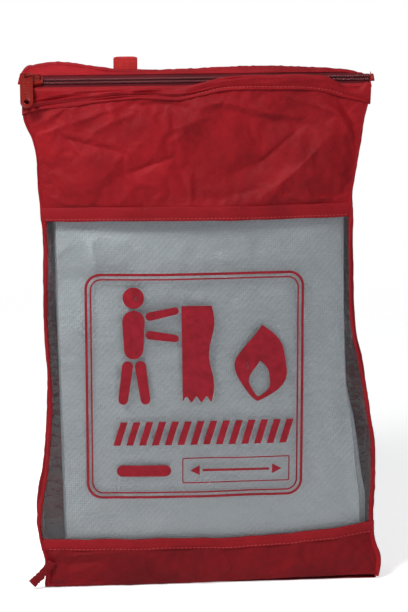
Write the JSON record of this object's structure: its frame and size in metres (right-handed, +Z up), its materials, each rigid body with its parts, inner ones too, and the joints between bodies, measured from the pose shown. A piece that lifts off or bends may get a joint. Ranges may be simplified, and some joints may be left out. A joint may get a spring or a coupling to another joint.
{
  "type": "fire blanket in a zip pouch",
  "caption": "Soft zip pouch with a clear front window, side gussets and a hang loop, holding a folded glass-fibre fire blanket.",
  "frame": {"origin": "on the floor, under the middle of the object's box", "axes": "+Z up the standing pouch, -Y out of the window, +X to the right of someone facing the window"},
  "size_m": [0.299, 0.0631, 0.4372],
  "materials": {
    "nylon_cloth": "woven nylon, low sheen",
    "nylon_binding": "folded nylon strip",
    "webbing": "woven tape",
    "zip_tape": "twill tape",
    "zip_coil": "moulded nylon monofilament",
    "zip_hardware": "enamelled, satin",
    "window_film": "clear soft vinyl",
    "glass_cloth": "satin-woven glass fibre"
  },
  "bodies": {
    "pouch": {"back_panel": "nylon_cloth", "front_band": "nylon_cloth", "front_top_panel": "nylon_cloth", "left_gusset": "nylon_cloth", "right_gusset": "nylon_cloth", "bottom_gusset": "nylon_cloth", "top_gusset_front": "nylon_cloth", "top_gusset_back": "nylon_cloth", "window_top_hem": "nylon_binding", "window_bottom_hem": "nylon_binding", "front_left_binding": "nylon_binding", "front_right_binding": "nylon_binding", "back_left_binding": "nylon_binding", "back_right_binding": "nylon_binding", "front_top_binding": "nylon_binding", "back_top_binding": "nylon_binding", "front_bottom_binding": "nylon_binding", "back_bottom_binding": "nylon_binding", "binding_tail": "nylon_binding", "hang_loop_base": "webbing", "zip_tape_front": "zip_tape", "zip_tape_back": "zip_tape", "zip_coil_front": "zip_coil", "zip_coil_back": "zip_coil", "zip_top_stop_front": "zip_hardware", "zip_top_stop_back": "zip_hardware", "zip_bottom_stop": "zip_hardware", "window_film": "window_film"},
    "slider": {"slider_body": "zip_hardware"},
    "pull": {"pull_tab": "zip_hardware"},
    "loop": {"hang_loop": "webbing"},
    "blanket": {"fire_blanket": "glass_cloth"}
  },
  "joints": [
    {"name": "slider_travel", "type": "slide", "parent": "pouch", "child": "slider", "axis": [1, 0, 0], "range_m": [0, 0.26]},
    {"name": "pull_swing", "type": "hinge", "parent": "slider", "child": "pull", "pos_m": [-0.1401, -0.0113, 0.42822], "axis": [0, 0.7314, -0.682], "range_deg": [-15, 180]},
    {"name": "hang_loop_lift", "type": "hinge", "parent": "pouch", "child": "loop", "pos_m": [-0.06, 0.02195, 0.4372], "axis": [1, 0, 0], "range_deg": [0, 170]},
    {"name": "blanket_lift", "type": "slide", "parent": "pouch", "child": "blanket", "axis": [0, 0, 1], "range_m": [0, 0.05]}
  ]
}
